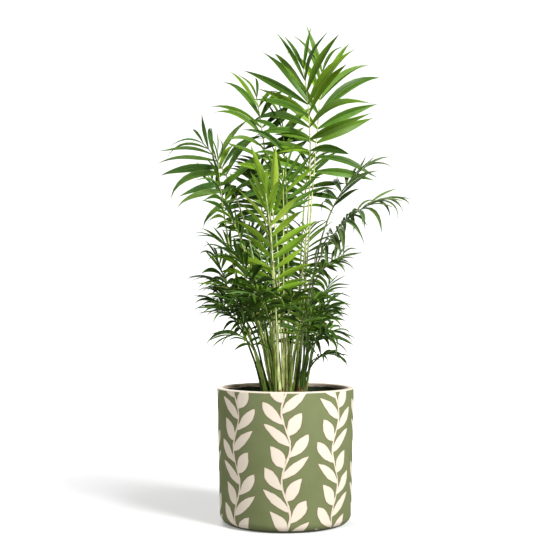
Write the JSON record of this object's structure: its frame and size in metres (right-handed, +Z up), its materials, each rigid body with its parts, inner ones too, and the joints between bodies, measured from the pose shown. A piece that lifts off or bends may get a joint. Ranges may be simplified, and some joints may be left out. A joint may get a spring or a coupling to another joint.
{
  "type": "potted parlor palm",
  "caption": "Clump of slender palm stems with arching feathered fronds, growing in a straight round planter of matt sage green with a pale rim and cream leaf pattern.",
  "frame": {"origin": "centre of the planter's flat underside", "axes": "+Z up along the planter's axis. +X to the right and +Y away from the viewer in the front view."},
  "size_m": [0.3951, 0.3392, 0.7512],
  "materials": {
    "pot_sage": "matt glaze",
    "potting_soil": "rough",
    "cane": "satin",
    "leaf_bright": "satin",
    "leaf_mid": "satin",
    "leaf_deep": "satin",
    "leaf_young": "satin"
  },
  "bodies": {
    "root": {"pot": "pot_sage", "soil": "potting_soil", "stem_01": "cane", "stem_02": "cane", "stem_03": "cane", "stem_04": "cane", "stem_05": "cane", "stem_06": "cane", "stem_07": "cane", "stem_08": "cane", "stem_09": "cane", "stem_10": "cane", "stem_11": "cane", "stem_12": "cane", "stem_13": "cane", "stem_14": "cane", "stem_15": "cane", "frond_01": "leaf_bright", "frond_02": "leaf_bright", "frond_03": "leaf_bright", "frond_04": "leaf_bright", "frond_05": "leaf_deep", "frond_06": "leaf_deep", "frond_07": "leaf_young", "frond_08": "leaf_young", "frond_09": "leaf_bright", "frond_10": "leaf_bright", "frond_11": "leaf_mid", "frond_12": "leaf_mid", "frond_13": "leaf_mid", "frond_14": "leaf_deep", "frond_15": "leaf_mid", "frond_16": "leaf_deep", "frond_17": "leaf_mid", "frond_18": "leaf_mid", "frond_19": "leaf_deep", "frond_20": "leaf_deep", "frond_21": "leaf_deep", "frond_22": "leaf_deep", "frond_23": "leaf_mid", "frond_24": "leaf_mid", "frond_25": "leaf_mid", "frond_26": "leaf_deep", "frond_27": "leaf_mid", "frond_28": "leaf_bright", "frond_29": "leaf_mid", "frond_30": "leaf_deep", "frond_31": "leaf_mid", "frond_32": "leaf_bright", "frond_33": "leaf_mid", "frond_34": "leaf_deep", "frond_35": "leaf_mid", "frond_36": "leaf_bright", "frond_37": "leaf_mid", "frond_38": "leaf_deep", "frond_39": "leaf_mid", "frond_40": "leaf_bright", "frond_41": "leaf_mid", "frond_42": "leaf_deep"}
  },
  "joints": []
}
